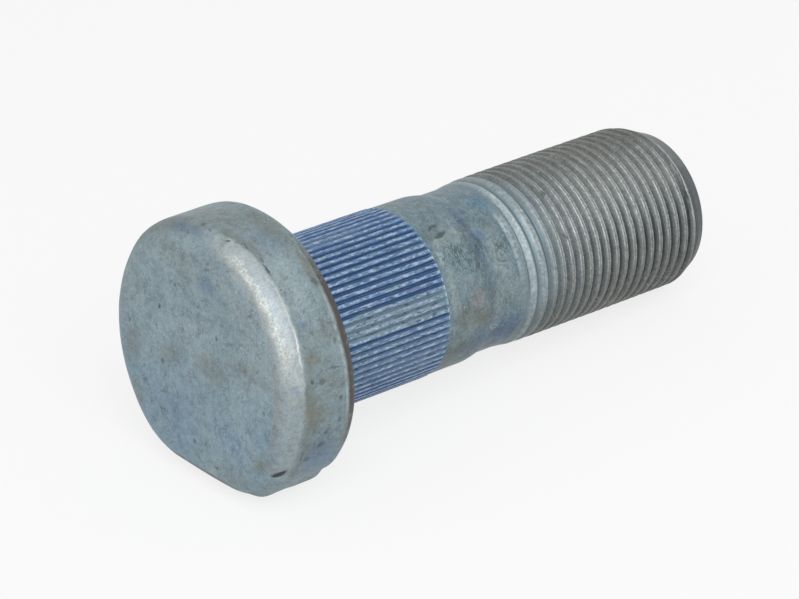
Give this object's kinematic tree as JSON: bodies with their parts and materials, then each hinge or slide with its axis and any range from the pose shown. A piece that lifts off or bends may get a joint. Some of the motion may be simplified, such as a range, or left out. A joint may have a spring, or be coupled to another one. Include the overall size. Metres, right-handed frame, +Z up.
{
  "type": "wheel bolt",
  "caption": "Press-in wheel bolt: forged round head with a flat, straight knurl, smooth shoulder and a fine metric thread.",
  "frame": {"origin": "on the ground, under the centre of the bolt as it lies", "axes": "+Z up; the bolt's axis runs along +X from the head to the thread end and dips 4.3 degrees, because the bolt lies on the flat of its head and on the far end of its thread"},
  "size_m": [0.0762, 0.0354, 0.0338],
  "materials": {
    "zinc_steel": "matt blue-passivated zinc on forged steel, worn bright on the head's edge and on the thread"
  },
  "bodies": {
    "root": {"wheel_bolt": "zinc_steel"}
  },
  "joints": []
}
